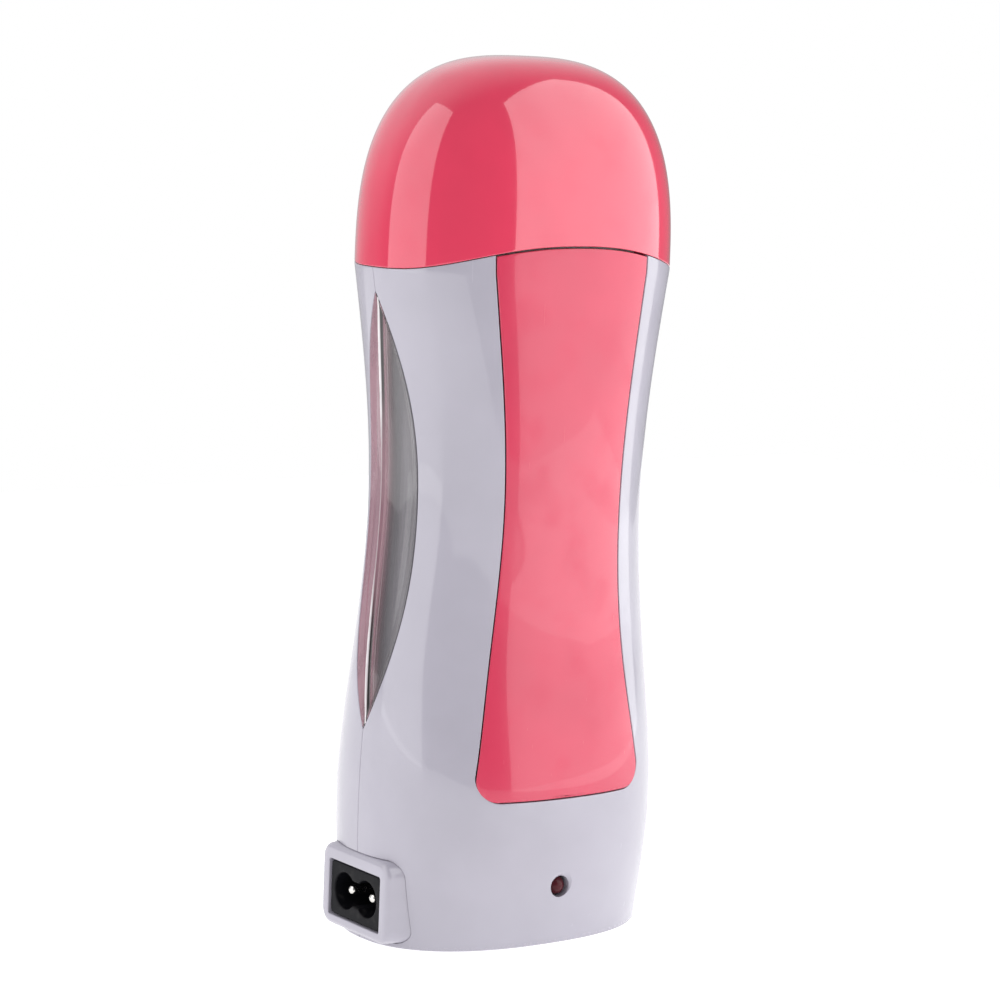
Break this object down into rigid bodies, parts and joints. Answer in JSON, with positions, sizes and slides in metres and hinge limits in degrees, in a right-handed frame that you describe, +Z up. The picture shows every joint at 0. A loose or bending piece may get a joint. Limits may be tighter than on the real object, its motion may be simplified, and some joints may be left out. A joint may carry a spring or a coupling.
{
  "type": "roll-on wax heater",
  "caption": "Hand-held roll-on wax cartridge heater with an hourglass body, side windows, a mains inlet and a lift-off dome cap.",
  "frame": {"origin": "centre of the flat base that the heater stands on", "axes": "+Z up the body to the crown of the cap, -Y the front with the grip panel and the pilot lamp, -X the side with the mains inlet"},
  "size_m": [0.077, 0.058, 0.2],
  "materials": {
    "body_white": "glossy moulded ABS, white with a faint lavender cast",
    "panel_pink": "glossy moulded ABS, coral pink",
    "cap_pink": "high-gloss moulded ABS, coral pink",
    "window_smoke": "clear smoky polycarbonate",
    "inner_white": "satin moulded plastic",
    "well_aluminium": "drawn aluminium, faint vertical draw lines",
    "shield_board": "mica board",
    "heater_film": "amber insulating film",
    "inner_black": "matt phenolic",
    "bright_metal": "nickel plated",
    "board_green": "solder resist",
    "lamp_red": "clear dark red epoxy",
    "resistor_tan": "lacquered",
    "socket_black": "black moulded nylon, semi-gloss",
    "wire_brown": "silicone sleeve",
    "wire_red": "silicone sleeve",
    "wire_blue": "silicone sleeve"
  },
  "bodies": {
    "heater": {"front_shell": "body_white", "rear_shell": "body_white", "grip_panel": "panel_pink", "left_window": "window_smoke", "right_window": "window_smoke", "neck_ring": "inner_white", "cartridge_well": "well_aluminium", "heat_shield": "shield_board", "front_heater": "heater_film", "rear_heater": "heater_film", "thermostat": "inner_black", "thermal_fuse": "bright_metal", "circuit_board": "board_green", "pilot_lamp": "lamp_red", "lamp_resistor": "resistor_tan", "lamp_diode": "inner_black", "inlet_collar": "body_white", "inlet_socket": "socket_black", "front_inlet_pin": "bright_metal", "rear_inlet_pin": "bright_metal", "case_screw_1": "bright_metal", "case_screw_2": "bright_metal", "case_screw_3": "bright_metal", "case_screw_4": "bright_metal", "live_wire": "wire_brown", "heater_wire": "wire_red", "neutral_wire": "wire_blue", "fuse_wire": "wire_blue"},
    "lid": {"cap": "cap_pink"}
  },
  "joints": [
    {"name": "cap_lift", "type": "slide", "parent": "heater", "child": "lid", "axis": [0, 0, 1], "range_m": [0, 0.07]}
  ]
}
